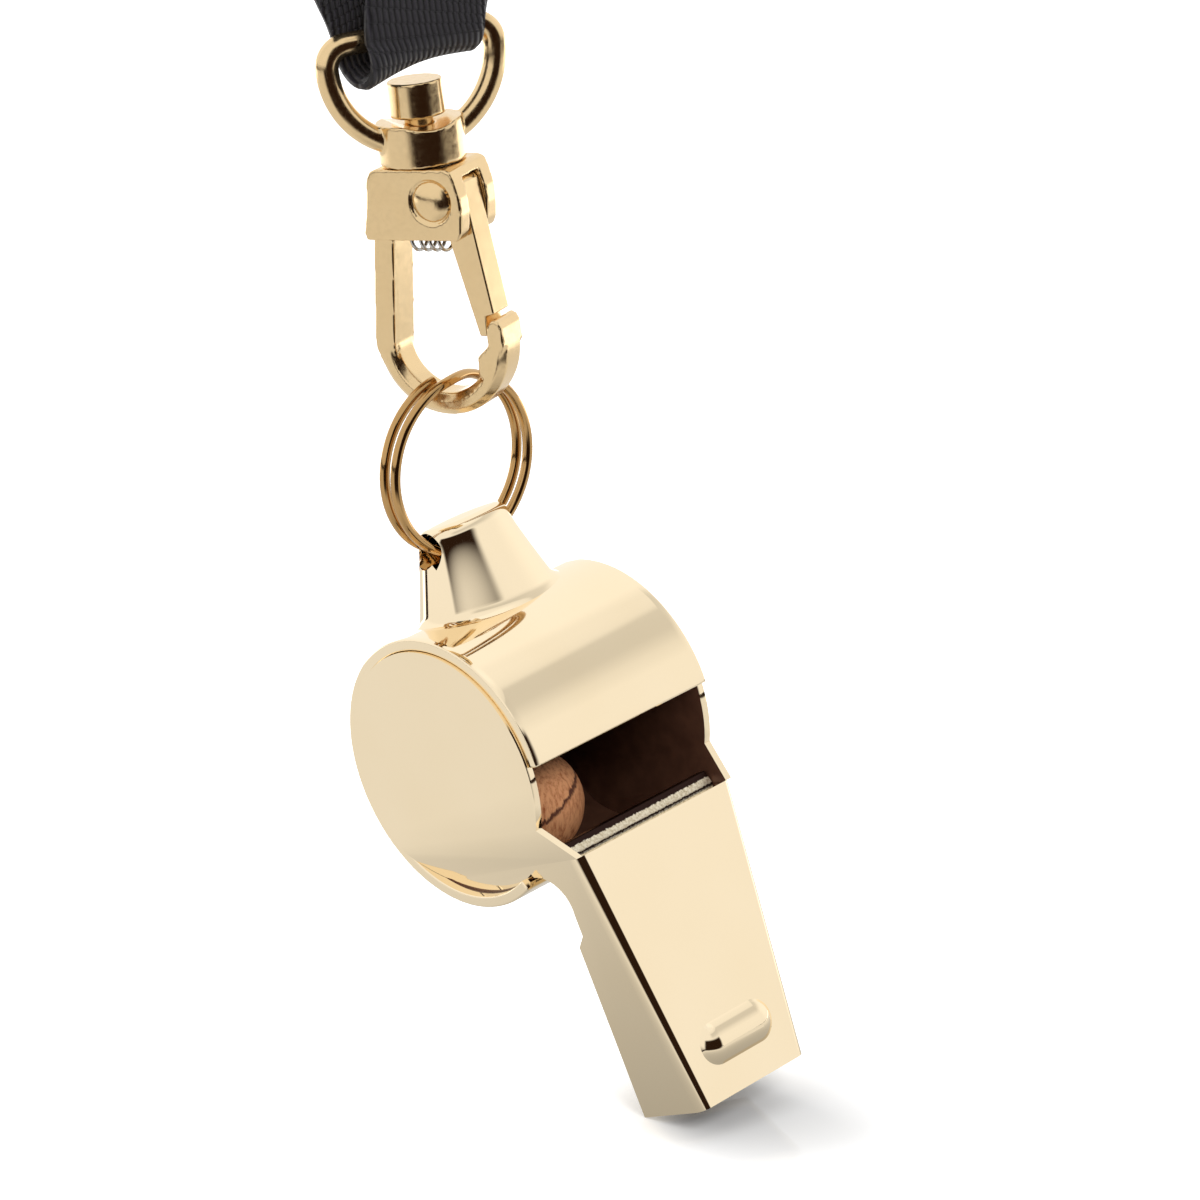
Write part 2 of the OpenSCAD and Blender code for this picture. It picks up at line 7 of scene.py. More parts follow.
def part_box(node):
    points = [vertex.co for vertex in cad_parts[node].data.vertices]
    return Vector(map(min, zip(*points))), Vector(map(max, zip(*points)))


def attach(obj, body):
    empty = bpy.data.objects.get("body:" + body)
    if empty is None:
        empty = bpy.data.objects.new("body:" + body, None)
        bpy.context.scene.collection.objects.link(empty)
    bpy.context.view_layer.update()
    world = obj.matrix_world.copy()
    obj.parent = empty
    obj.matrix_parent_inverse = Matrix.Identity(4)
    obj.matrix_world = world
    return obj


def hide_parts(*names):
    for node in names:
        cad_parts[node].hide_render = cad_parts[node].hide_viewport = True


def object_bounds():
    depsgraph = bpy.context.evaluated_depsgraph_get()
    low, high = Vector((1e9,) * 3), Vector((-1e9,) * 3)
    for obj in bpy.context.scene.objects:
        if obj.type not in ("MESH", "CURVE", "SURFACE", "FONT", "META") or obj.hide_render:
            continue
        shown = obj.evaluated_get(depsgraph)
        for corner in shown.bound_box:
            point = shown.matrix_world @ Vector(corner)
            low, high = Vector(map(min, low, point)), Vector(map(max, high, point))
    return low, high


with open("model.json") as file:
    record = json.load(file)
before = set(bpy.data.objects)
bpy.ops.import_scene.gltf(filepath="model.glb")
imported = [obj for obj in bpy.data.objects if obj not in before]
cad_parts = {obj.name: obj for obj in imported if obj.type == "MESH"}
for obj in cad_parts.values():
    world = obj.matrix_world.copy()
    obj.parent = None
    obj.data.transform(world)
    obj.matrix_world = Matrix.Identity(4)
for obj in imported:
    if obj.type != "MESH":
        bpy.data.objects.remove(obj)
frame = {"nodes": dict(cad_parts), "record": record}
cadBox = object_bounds()
mm = 0.001
joints = {joint["name"]: joint for joint in frame["record"]["behaviour"]["joints"]}
barrelCentre = Vector(joints["pea_orbit"]["pos_m"])
print("stage: frame loaded,", len(frame["nodes"]), "nodes")


# camera, at the photograph's angle

cameraSettings = {
    "lens": 150, "sensor": 36, "near": 0.01, "far": 20,
    "fromBarrel": (266.15, -253.27, 126.54),  # mm
    "right": (0.6997, 0.7145, 0.0),
    "forward": (-0.6814, 0.6673, -0.3007),
}
right = Vector(cameraSettings["right"]).normalized()
forward = Vector(cameraSettings["forward"])
forward = (forward - forward.dot(right) * right).normalized()
up = right.cross(forward)
cameraData = bpy.data.cameras.new("camera")
cameraData.lens = cameraSettings["lens"]
cameraData.sensor_width = cameraSettings["sensor"]
cameraData.clip_start = cameraSettings["near"]
cameraData.clip_end = cameraSettings["far"]
camera = bpy.data.objects.new("camera", cameraData)
bpy.context.scene.collection.objects.link(camera)
cameraPlace = barrelCentre + Vector(cameraSettings["fromBarrel"]) * mm
camera.matrix_world = Matrix.Translation(cameraPlace) @ Matrix((right, up, -forward)).transposed().to_4x4()
bpy.context.scene.camera = camera
print("stage: camera made")


# the part's own frames, from its joints

def jointPlace(name):
    return Vector(joints[name]["pos_m"])


def jointAxis(name):
    return Vector(joints[name]["axis"]).normalized()


def turned(pitch, roll):
    return Matrix.Rotation(math.radians(roll), 3, "X") @ Matrix.Rotation(math.radians(pitch), 3, "Y")


whistleLean = {"pitch": 68.4, "roll": 8.1}  # degrees, the hanging pose of the photograph
whistleFrame = turned(whistleLean["pitch"], whistleLean["roll"])
whistleAcross = jointAxis("whistle_swing")
tapeAcross = jointAxis("d_ring_swing")
swivelUp = jointAxis("hook_swivel")
tapeThrough = swivelUp.cross(tapeAcross)
barPlace = jointPlace("d_ring_swing")
hookTop = jointPlace("hook_swivel")
gateAcross = jointAxis("gate_open")
hookSide = gateAcross.cross(swivelUp)


def inWhistle(point):
    # a point of the part, in the whistle's own mm: x to the tip, y across, z out of the top plate
    return (whistleFrame.transposed() @ (point - barrelCentre)) / mm


def onHook(x, y, z):
    # mm from the housing's top: towards the gate, across, up
    return hookTop + (hookSide * x + gateAcross * y + swivelUp * z) * mm


def onTape(point):
    # mm from the D-ring's bar: along it, through the tape, up
    return barPlace + (tapeAcross * point.x + tapeThrough * point.y + swivelUp * point.z) * mm


# helpers for nodes

def linear(hexColour):
    # sRGB hex to the linear colour that a socket takes
    parts = [int(hexColour[i:i + 2], 16) / 255 for i in (1, 3, 5)]
    return tuple(p / 12.92 if p <= 0.04045 else ((p + 0.055) / 1.055) ** 2.4 for p in parts) + (1.0,)


def grey(level, tint=(1, 1, 1)):
    return tuple(level * part for part in tint) + (1,)


def addNode(tree, kind, settings):
    # one node: its fields by name, its sockets by name or number, each from a value or another node's output
    made = tree.nodes.new(kind)
    for key, value in settings.items():
        if isinstance(value, bpy.types.NodeSocket):
            tree.links.new(value, made.inputs[key])
        elif isinstance(key, str) and hasattr(made, key):
            setattr(made, key, value)
        else:
            made.inputs[key].default_value = value
    return made


def mathValue(tree, operation, *values):
    return addNode(tree, "ShaderNodeMath", {"operation": operation, **dict(enumerate(values))}).outputs[0]


def vectorValue(tree, operation, *values):
    # a dot product and a length give a number, the others a vector
    made = addNode(tree, "ShaderNodeVectorMath", {"operation": operation, **dict(enumerate(values))})
    return made.outputs["Value" if operation in ("DOT_PRODUCT", "LENGTH") else "Vector"]


def mapped(tree, value, start, end, low=0.0, high=1.0, shape="SMOOTHSTEP"):
    # one range of a value turned into another
    return addNode(tree, "ShaderNodeMapRange", {
        "interpolation_type": shape, "From Min": start, "From Max": end,
        "To Min": low, "To Max": high, "Value": value,
    }).outputs["Result"]


def toned(tree, value, stops):
    # a colour for each level of a value, from stops of position and colour
    ramp = addNode(tree, "ShaderNodeValToRGB", {"Fac": value})
    ends = ramp.color_ramp.elements
    ends[0].position, ends[0].color = stops[0]
    ends[1].position, ends[1].color = stops[-1]
    for position, colour in stops[1:-1]:
        ends.new(position).color = colour
    return ramp.outputs["Color"]


def mixed(tree, share, first, second, way="MIX"):
    return addNode(tree, "ShaderNodeMix", {
        "data_type": "RGBA", "blend_type": way, 0: share, 6: first, 7: second}).outputs[2]


def either(tree, share, first, second):
    # two shaders, by a share
    return addNode(tree, "ShaderNodeMixShader", {0: share, 1: first, 2: second}).outputs[0]


def scaled(tree, colour, level):
    made = addNode(tree, "ShaderNodeVectorMath", {"operation": "SCALE", 0: colour, "Scale": level})
    return made.outputs["Vector"]


def noise(tree, spot, size, detail, roughness=0.5):
    # noise with grains of about this many mm
    return addNode(tree, "ShaderNodeTexNoise", {
        "Scale": 1 / (size * mm), "Detail": detail, "Roughness": roughness, "Vector": spot}).outputs["Fac"]


def bumped(tree, height, depth, strength):
    # depth in mm
    return addNode(tree, "ShaderNodeBump", {
        "Strength": strength, "Distance": depth * mm, "Height": height}).outputs["Normal"]


def newMaterial(name):
    material = bpy.data.materials.new(name)
    material.use_nodes = True
    material.node_tree.nodes.clear()
    return material, material.node_tree


def onPiece(tree):
    # each point's place on the piece, in metres
    return addNode(tree, "ShaderNodeTexCoord", {}).outputs["Object"]


def finished(material, tree, settings):
    # the shader and the output that end a finish
    skin = addNode(tree, "ShaderNodeBsdfPrincipled", settings)
    addNode(tree, "ShaderNodeOutputMaterial", {"Surface": skin.outputs["BSDF"]})
    return material


# helpers for pieces

def onlyNothing():
    bpy.ops.object.select_all(action="DESELECT")


def onlySelect(piece):
    onlyNothing()
    piece.select_set(True)
    bpy.context.view_layer.objects.active = piece


def edited(operator, **settings):
    # one edit-mode operator on the whole of the active piece
    bpy.ops.object.mode_set(mode="EDIT")
    bpy.ops.mesh.select_all(action="SELECT")
    operator(**settings)
    bpy.ops.object.mode_set(mode="OBJECT")


def applied(piece, name, kind, **settings):
    modifier = piece.modifiers.new(name, kind)
    for key, value in settings.items():
        setattr(modifier, key, value)
    onlySelect(piece)
    bpy.ops.object.modifier_apply(modifier=name)


def joined(pieces):
    # the rest are joined to the first
    onlySelect(pieces[0])
    for piece in pieces[1:]:
        piece.select_set(True)
    bpy.ops.object.join()
    return bpy.context.object


def cutAway(piece, cutter):
    # takes the cutter's form out of the piece, and the cutter goes
    applied(piece, "cut", "BOOLEAN", operation="DIFFERENCE", object=cutter, solver="EXACT")
    bpy.data.objects.remove(cutter)


def smoothed(piece, angle):
    onlySelect(piece)
    bpy.ops.object.shade_smooth_by_angle(angle=math.radians(angle))


evenWeight = 80


def evened(piece):
    # flat faces keep their own normals, and the broken edges blend into them
    applied(piece, "even", "WEIGHTED_NORMAL", weight=evenWeight, keep_sharp=True)


def dress(piece, material):
    piece.data.materials.clear()
    piece.data.materials.append(material)


def standsFor(piece, node, slot, body):
    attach(piece, body)
    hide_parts(node)


def eased(t):
    t = max(0, min(1, t))
    return t * t * (3 - 2 * t)


# finishes

goldSettings = {
    "hairline": 0.35, "hairDetail": 3.0, "hairLevels": (0.3, 0.75), "rougher": (0.75, 1.35),
    "waveDetail": 1.0, "waveDepth": 0.04, "deeper": (0.97, 0.955, 0.92),
}  # mm


def polishedGold(name, hexColour, roughness, waves, waveSize):
    # gold plate over polished brass: a mirror with soft waves from buffing and faint hairlines
    s = goldSettings
    material, tree = newMaterial(name)
    spot = onPiece(tree)
    broad = noise(tree, spot, waveSize, s["waveDetail"])
    fine = noise(tree, spot, s["hairline"], s["hairDetail"])
    shade = linear(hexColour)
    deeper = tuple(a * b for a, b in zip(shade, s["deeper"])) + (1,)
    fromRough, toRough = (roughness * share for share in s["rougher"])
    smear = mapped(tree, fine, *s["hairLevels"], fromRough, toRough, "LINEAR")
    return finished(material, tree, {
        "Metallic": 1.0, "Base Color": toned(tree, broad, ((0, shade), (1, deeper))), "Roughness": smear,
        "Normal": bumped(tree, broad, s["waveDepth"], waves)})


insideShadeSettings = {
    "dark": "#4A2C22", "pale": "#7C5540", "shadeMottle": 1.6, "detail": 4.0, "metallic": 0.4, "roughness": 0.38,
}  # mm


def paintedInsideShade():
    # unpolished brass inside the barrel: a dull sheen, its dark brown colour painted shade of the hollow
    s = insideShadeSettings
    material, tree = newMaterial("paintedShadeInsideBrass")
    shadeMottle = noise(tree, onPiece(tree), s["shadeMottle"], s["detail"])
    return finished(material, tree, {
        "Metallic": s["metallic"], "Roughness": s["roughness"],
        "Base Color": toned(tree, shadeMottle, ((0, linear(s["dark"])), (1, linear(s["pale"]))))})


shearedSettings = {
    "dark": (0.25, "#B5A17C"), "pale": (0.6, "#F4EAD2"), "gapShade": "#2A1610",
    "grain": 0.22, "detail": 5.0, "coarse": 0.6, "depth": 0.04, "bump": 0.5, "metallic": 0.8, "roughness": 0.35,
    "bands": (7.3, 8.6), "torn": 0.3,
    "pales": ((0, 0), (0.38, 0), (0.43, 1), (0.78, 1), (0.83, 0), (0.9, 0), (1, 1)),
}  # mm; the bands lie towards the tip from the barrel's centre, and pales runs over their length


def shearedBrass():
    # brass sheet cut by a shear, unpolished: a grainy pale burr beside the plate, dark painted shade beyond it
    s = shearedSettings
    material, tree = newMaterial("shearedBrassSheet")
    spot = onPiece(tree)
    grain = noise(tree, spot, s["grain"], s["detail"], s["coarse"])
    tone = toned(tree, grain, [(position, linear(colour)) for position, colour in (s["dark"], s["pale"])])
    toTip = whistleFrame @ Vector((1, 0, 0))
    torn = mathValue(tree, "MULTIPLY_ADD", grain, s["torn"] * mm, vectorValue(tree, "DOT_PRODUCT", spot, toTip))
    start = barrelCentre.dot(toTip) + s["torn"] / 2 * mm  # the grain's middle level
    burr = mapped(tree, torn, start + s["bands"][0] * mm, start + s["bands"][1] * mm, shape="LINEAR")
    # painted shade: the pales' dark stops, beyond the burr and as a thin painted shadow line at the plate's edge
    share = toned(tree, burr, [(position, grey(level)) for position, level in s["pales"]])
    return finished(material, tree, {
        "Metallic": s["metallic"], "Roughness": s["roughness"],
        "Base Color": mixed(tree, share, linear(s["gapShade"]), tone),
        "Normal": bumped(tree, grain, s["depth"], s["bump"])})


corkSettings = {
    "dark": (0.28, "#94502C"), "pale": (0.55, "#D29568"), "grain": 0.45, "detail": 6.0, "coarse": 0.65,
    "turn": (0.5, 0.35, 0.2), "squeeze": (1.5, 1.5, 0.45), "depth": 0.08, "bump": 0.5, "roughness": 0.8,
    "seam": "#3A1510", "seamUp": (-0.24, -0.52, 0.82), "seamHalf": (0.08, 0.26), "seamShare": 0.1, "wander": 1.0,
}  # mm, radians


def naturalCork(centre):
    # cork turned to a ball: warm tan with streaked pores, and one dark bark line round it
    s = corkSettings
    material, tree = newMaterial("turnedNaturalCork")
    own = addNode(tree, "ShaderNodeMapping", {
        "vector_type": "POINT", "Location": [-c for c in centre], "Vector": onPiece(tree)}).outputs["Vector"]
    streaked = addNode(tree, "ShaderNodeMapping", {
        "Rotation": s["turn"], "Scale": s["squeeze"], "Vector": own}).outputs["Vector"]
    pores = noise(tree, streaked, s["grain"], s["detail"], s["coarse"])
    tone = toned(tree, pores, [(position, linear(colour)) for position, colour in (s["dark"], s["pale"])])
    wander = mathValue(tree, "MULTIPLY_ADD", pores, s["wander"] * mm, -s["wander"] / 2 * mm)
    height = vectorValue(tree, "DOT_PRODUCT", own, s["seamUp"])
    away = mathValue(tree, "ABSOLUTE", mathValue(tree, "ADD", height, wander))
    seam = mapped(tree, away, s["seamHalf"][0] * mm, s["seamHalf"][1] * mm, low=s["seamShare"], shape="LINEAR")
    return finished(material, tree, {
        "Roughness": s["roughness"], "Base Color": mixed(tree, seam, linear(s["seam"]), tone),
        "Normal": bumped(tree, pores, s["depth"], s["bump"])})


steelSettings = {"colour": "#C9C8C6", "marks": 0.2, "detail": 3.0, "roughness": (0.15, 0.3)}  # mm


def springSteel():
    # drawn spring wire: bright grey with fine drawing marks
    s = steelSettings
    material, tree = newMaterial("brightSpringSteel")
    marks = noise(tree, onPiece(tree), s["marks"], s["detail"])
    return finished(material, tree, {
        "Metallic": 1.0, "Base Color": linear(s["colour"]),
        "Roughness": mapped(tree, marks, 0, 1, *s["roughness"], "LINEAR")})


wavePeriod = 0.314  # a wave texture's period at scale 1
clothSettings = {
    "dark": "#0D0B0F", "pale": "#2C2930", "rib": 0.45, "lean": 14, "row": 0.9, "phase": 1.2,
    "rowEdge": 0.25, "rowLow": 0.55, "waver": (0.6, 1.0, 1.5), "fuzz": (2.2, 5.0, 0.65), "fuzzShare": 0.5,
    "depth": 0.18, "bump": 1.0, "roughness": 0.55, "sheen": (0.12, 0.4),
}  # mm, degrees


def wovenTape():
    # black polyester tape: short slanting ribs side by side in rows, with a dull silky sheen
    s = clothSettings
    material, tree = newMaterial("wovenBlackTape")
    cloth = addNode(tree, "ShaderNodeUVMap", {"uv_map": "tape"}).outputs["UV"]
    slant = addNode(tree, "ShaderNodeMapping", {"Rotation": (0, 0, math.radians(s["lean"])), "Vector": cloth})
    alongTape = addNode(tree, "ShaderNodeSeparateXYZ", {"Vector": cloth}).outputs["Y"]
    row = mathValue(tree, "DIVIDE", alongTape, s["row"])
    phase = mathValue(tree, "MULTIPLY", mathValue(tree, "FLOOR", row), s["phase"])
    fromEdge = mathValue(tree, "PINGPONG", row, 0.5)  # in rows, from the nearer edge of its own row
    ends = mapped(tree, fromEdge, 0.0, s["rowEdge"], low=s["rowLow"])
    distortion, detail, detailScale = s["waver"]
    ribs = addNode(tree, "ShaderNodeTexWave", {
        "Scale": wavePeriod / s["rib"], "Distortion": distortion, "Detail": detail, "Detail Scale": detailScale,
        "Vector": slant.outputs["Vector"], "Phase Offset": phase}).outputs["Fac"]
    scale, fuzzDetail, coarse = s["fuzz"]
    fuzz = addNode(tree, "ShaderNodeTexNoise", {
        "Scale": scale, "Detail": fuzzDetail, "Roughness": coarse, "Vector": cloth}).outputs["Fac"]
    # painted shade: the colour follows the ribs' height, darker in the grooves and at the rows' edges
    height = mathValue(tree, "MULTIPLY", ribs, ends)
    tone = toned(tree, height, ((0, linear(s["dark"])), (1, linear(s["pale"]))))
    return finished(material, tree, {
        "Roughness": s["roughness"], "Sheen Weight": s["sheen"][0], "Sheen Roughness": s["sheen"][1],
        "Base Color": mixed(tree, s["fuzzShare"], tone, fuzz, "MULTIPLY"),
        "Normal": bumped(tree, height, s["depth"], s["bump"])})


threadSettings = {"dark": "#1E1C20", "pale": "#46434B", "ply": 0.2, "roughness": 0.55}  # mm


def sewingThread():
    # bonded polyester thread, a shade lighter than the tape
    s = threadSettings
    material, tree = newMaterial("bondedSewingThread")
    ply = addNode(tree, "ShaderNodeTexWave", {
        "bands_direction": "DIAGONAL", "Scale": wavePeriod / (s["ply"] * mm), "Vector": onPiece(tree),
    }).outputs["Fac"]
    return finished(material, tree, {
        "Roughness": s["roughness"],
        "Base Color": toned(tree, ply, ((0, linear(s["dark"])), (1, linear(s["pale"]))))})


peaLow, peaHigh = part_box("cork_pea")
peaCentre = (peaLow + peaHigh) / 2
whistleGold = polishedGold("polishedChampagneGold", "#FBEACB", roughness=0.05, waves=0.10, waveSize=7.0)
castingGold = polishedGold("tumbledGoldCasting", "#ECD0A2", roughness=0.20, waves=0.45, waveSize=1.8)
wireGold = polishedGold("drawnGoldWire", "#C29C68", roughness=0.12, waves=0.25, waveSize=1.5)
insideShadeFinish = paintedInsideShade()
shearedSheet = shearedBrass()
corkSkin = naturalCork(peaCentre)
steelWire = springSteel()
tapeCloth = wovenTape()
tapeThread = sewingThread()
print("stage: finishes made")


# pressed sheet pieces: copies of the frame's own solids with their edges broken

sheetPieces = {
    "shellPressing": {"node": "whistle_shell", "finish": whistleGold, "slot": "gilt_brass", "edge": 0.12},
    "barrelBand": {"node": "barrel_strip", "finish": whistleGold, "slot": "gilt_brass", "edge": 0.16},
    "airSlotFloor": {"node": "windway_floor", "finish": shearedSheet, "slot": "sheared_brass", "edge": 0.10},
    "lowerPlate": {"node": "underplate", "finish": whistleGold, "slot": "gilt_brass", "edge": 0.12},
}
sheetSettings = {"weld": 0.002, "flat": 0.5, "segments": 3, "breakOver": 34, "smoothUnder": 30}  # mm, degrees
insideSettings = {
    "radius": 10.3, "half": 9.0, "rimFrom": 8.5, "airWayFrom": 9, "roofFrom": 8, "inward": 0.3, "squareOn": 0.7,
}  # mm from the barrel's centre, then cosines; past rimFrom the band's inner face shows beyond the cheek's bend


def copyOfNode(name, node):
    piece = bpy.data.objects.new(name, frame["nodes"][node].data.copy())
    bpy.context.scene.collection.objects.link(piece)
    onlySelect(piece)
    if piece.data.has_custom_normals:
        bpy.ops.mesh.customdata_custom_splitnormals_clear()
    edited(bpy.ops.mesh.remove_doubles, threshold=sheetSettings["weld"] * mm)
    return piece


def looksInside(centre, normal):
    # true on the faces that close the barrel's hollow and the air way, which take the painted shade
    s = insideSettings
    place, out = inWhistle(centre), whistleFrame.transposed() @ normal
    radius = math.hypot(place.x, place.z)
    cheek = abs(out.y) > s["squareOn"] and out.y * place.y < 0
    if radius < s["radius"] and abs(place.y) < s["half"]:
        toAxis = (out.x * place.x + out.z * place.z) < -s["inward"] * radius
        return cheek or (toAxis and abs(place.y) < s["rimFrom"])
    roof = out.z < -s["squareOn"] and place.z > s["roofFrom"]
    return place.x > s["airWayFrom"] and (cheek or roof)


for name, settings in sheetPieces.items():
    piece = copyOfNode(name, settings["node"])
    edited(bpy.ops.mesh.dissolve_limited, angle_limit=math.radians(sheetSettings["flat"]))
    applied(piece, "broken", "BEVEL", width=settings["edge"] * mm, segments=sheetSettings["segments"],
            limit_method="ANGLE", angle_limit=math.radians(sheetSettings["breakOver"]))
    smoothed(piece, sheetSettings["smoothUnder"])
    if name == "barrelBand":  # an edge round each end, where the painted inside shade stops
        for side in (-1, 1):
            rim = barrelCentre + whistleAcross * side * insideSettings["rimFrom"] * mm
            edited(bpy.ops.mesh.bisect, plane_co=rim, plane_no=whistleAcross)
    evened(piece)
    dress(piece, settings["finish"])
    # the second finish is the painted shade of the barrel's hollow and the air way
    piece.data.materials.append(insideShadeFinish)
    if name != "airSlotFloor":
        for face in piece.data.polygons:
            face.material_index = 1 if looksInside(face.center, face.normal) else 0
    standsFor(piece, settings["node"], settings["slot"], "whistle")
print("stage: sheet pieces dressed")


# cast pieces: copies, remeshed finely and eased, as tumbling rounds a casting

castPieces = {
    "hookCasting": {"node": "hook_frame", "body": "hook", "grain": 0.11, "ease": 9},
    "gateRivet": {"node": "gate_rivet", "body": "hook", "grain": 0.07, "ease": 3},
    "swivelPost": {"node": "swivel_post", "body": "hook", "grain": 0.09, "ease": 8},
    "swivelEye": {"node": "d_ring", "body": "swivel_eye", "grain": 0.10, "ease": 9},
}  # mm, rounds of easing
easeFactor = 0.5


def addRod(radius, length, centre, along, sides=64, endRadius=None):
    # a straight rod or a cut cone of the given direction, in metres
    onlyNothing()
    turn = Vector(along).to_track_quat("Z", "Y").to_euler()
    farRadius = radius if endRadius is None else endRadius
    bpy.ops.mesh.primitive_cone_add(vertices=sides, radius1=radius, radius2=farRadius, depth=length,
                                    location=centre, rotation=turn)
    rod = bpy.context.object
    bpy.ops.object.transform_apply(location=True, rotation=True, scale=True)
    return rod


def addPlate(name, outline, half):
    # a flat outline, drawn in a circle primitive and extruded across the hook
    onlyNothing()
    bpy.ops.mesh.primitive_circle_add(vertices=len(outline), radius=1, fill_type="NGON", location=(0, 0, 0))
    plate = bpy.context.object
    plate.name = name
    for vertex, (x, z) in zip(plate.data.vertices, outline):
        vertex.co = onHook(x, -half, z)
    edited(bpy.ops.mesh.extrude_region_move, TRANSFORM_OT_translate={"value": gateAcross * 2 * half * mm})
    edited(bpy.ops.mesh.normals_make_consistent, inside=False)
    return plate


# the collar's top is hollowed by the round of the D-ring, as the real casting is
hollowSettings = {"centre": 8.6, "radius": 5.72, "depth": 9, "top": 5.0, "sides": 128}  # mm above the housing

# the straight shank is square in section, and short bars carry its edges into the bow, each a step thinner
shankSettings = {
    "half": 1.58, "outline": ((-5.28, -14.0), (-3.57, -14.0), (-2.5, -5.2), (-4.24, -5.2)),
    "bowAt": (0.3, -14.0), "outer": 5.58, "inner": 3.87, "edge": 0.53, "steps": 9, "turn": 6, "overlap": 0.2,
}  # mm, degrees


def hollowCollar(piece):
    s = hollowSettings
    middle = hookTop + swivelUp * s["centre"] * mm
    hollow = addRod(s["radius"] * mm, s["depth"] * mm, middle, tapeThrough, s["sides"])
    # the rod, still the active piece, ends below the D-ring's bar, so that it cuts the collar alone
    edited(bpy.ops.mesh.bisect, plane_co=hookTop + swivelUp * s["top"] * mm, plane_no=swivelUp,
           use_fill=True, clear_outer=True)
    cutAway(piece, hollow)


def squareShank():
    s = shankSettings
    bars = [addPlate("bar", s["outline"], s["half"])]
    for k in range(s["steps"]):
        inset = s["edge"] * (k + 0.5) / s["steps"]
        outer, inner = s["outer"] - inset, s["inner"] + inset
        start, end = k - s["overlap"], k + 1
        outline = []
        for radius, turn in ((outer, start), (outer, end), (inner, end), (inner, start)):
            angle = math.radians(180 + s["turn"] * turn)
            outline.append((s["bowAt"][0] + radius * math.cos(angle), s["bowAt"][1] + radius * math.sin(angle)))
        bars.append(addPlate("bar", outline, s["half"] - inset))
    return bars


for name, settings in castPieces.items():
    piece = copyOfNode(name, settings["node"])
    if name == "swivelEye":
        hollowCollar(piece)
    if name == "hookCasting":
        joined([piece] + squareShank())
    applied(piece, "grain", "REMESH", mode="VOXEL", voxel_size=settings["grain"] * mm, use_smooth_shade=True)
    applied(piece, "eased", "SMOOTH", factor=easeFactor, iterations=settings["ease"])
    bpy.ops.object.shade_smooth()
    dress(piece, castingGold)
    standsFor(piece, settings["node"], "gilt_casting", settings["body"])
    print("stage:", name, "eased,", len(piece.data.polygons), "faces")


# the lug, a drawn thimble that is round on every side

gridWeld = 0.0005  # mm


def addRolled(name, around, along, place):
    # a grid primitive rolled into a closed form: place(i, k) gives each vertex's point, in metres
    onlyNothing()
    bpy.ops.mesh.primitive_grid_add(x_subdivisions=around, y_subdivisions=along, size=2, location=(0, 0, 0))
    piece = bpy.context.object
    piece.name = name
    for vertex in piece.data.vertices:
        i = round((vertex.co.x + 1) / 2 * around)
        k = round((vertex.co.y + 1) / 2 * along)
        vertex.co = place(i, k)
    edited(bpy.ops.mesh.remove_doubles, threshold=gridWeld * mm)
    edited(bpy.ops.mesh.normals_make_consistent, inside=False)
    return piece


lugSettings = {
    "angle": 176.5, "barrel": 11.0, "sink": 0.12, "top": 17.85, "shoulder": 1.15, "dome": 0.14,
    "footAcross": 6.4, "topAcross": 4.35, "waistAcross": 1.12,
    "footAround": 3.7, "topAround": 2.35, "waistAround": 1.15,
    "round": 2.2, "flange": 0.42, "flangeHigh": 0.55, "smoothUnder": 38,
    "holeAt": 16.3, "hole": 1.2, "holeLong": 20, "bore": 1.55, "boreHalf": 2.5, "boreAt": 16.15,
    "flare": 1.75, "flareFrom": 3.25, "flareTo": 4.6,
}  # mm, and the degrees round the barrel from the mouthpiece
lugGrid = {"around": 96, "foot": 4, "side": 40, "shoulder": 54, "top": 64}  # columns, then each part's last row
lugTurn = math.radians(lugSettings["angle"])
lugUp = whistleFrame @ Vector((math.cos(lugTurn), 0, math.sin(lugTurn)))
lugSide = lugUp.cross(whistleAcross)


def onLug(x, y, z):
    return barrelCentre + (lugSide * x + whistleAcross * y + lugUp * z) * mm


def lugPoint(i, k):
    s, g = lugSettings, lugGrid
    angle = 2 * math.pi * i / g["around"]
    c, d = math.cos(angle), math.sin(angle)
    swell = 1 / (abs(c) ** s["round"] + abs(d) ** s["round"]) ** (1 / s["round"])
    c, d = c * swell, d * swell
    high = s["top"] - s["shoulder"]
    if k <= g["foot"]:  # under the foot, from the middle out
        share = k / g["foot"]
        x, y = c * s["footAround"] * share, d * s["footAcross"] * share
        return onLug(x, y, math.sqrt(s["barrel"] ** 2 - x * x) - s["sink"])
    if k <= g["side"]:  # up the side, with the flared rim at its foot
        t = (k - g["foot"] - 1) / (g["side"] - g["foot"] - 1)
        spread = s["flange"] * max(0, 1 - (high - s["barrel"]) * t / s["flangeHigh"]) ** 2
        across = s["topAcross"] + (s["footAcross"] - s["topAcross"]) * (1 - t) ** s["waistAcross"] + spread
        around = s["topAround"] + (s["footAround"] - s["topAround"]) * (1 - t) ** s["waistAround"] + spread
        x, y = c * around, d * across
        start = math.sqrt(s["barrel"] ** 2 - x * x) - s["sink"] / 2
        return onLug(x, y, start + (high - start) * t)
    if k <= g["shoulder"]:  # the rounded shoulder
        a = math.pi / 2 * (k - g["side"]) / (g["shoulder"] - g["side"])
        inward = s["shoulder"] * (1 - math.cos(a))
        x, y = c * (s["topAround"] - inward), d * (s["topAcross"] - inward)
        return onLug(x, y, high + s["shoulder"] * math.sin(a))
    share = 1 - (k - g["shoulder"]) / (g["top"] - g["shoulder"])  # the top, a little domed
    x, y = c * (s["topAround"] - s["shoulder"]) * share, d * (s["topAcross"] - s["shoulder"]) * share
    return onLug(x, y, s["top"] + s["dome"] * (1 - share * share))


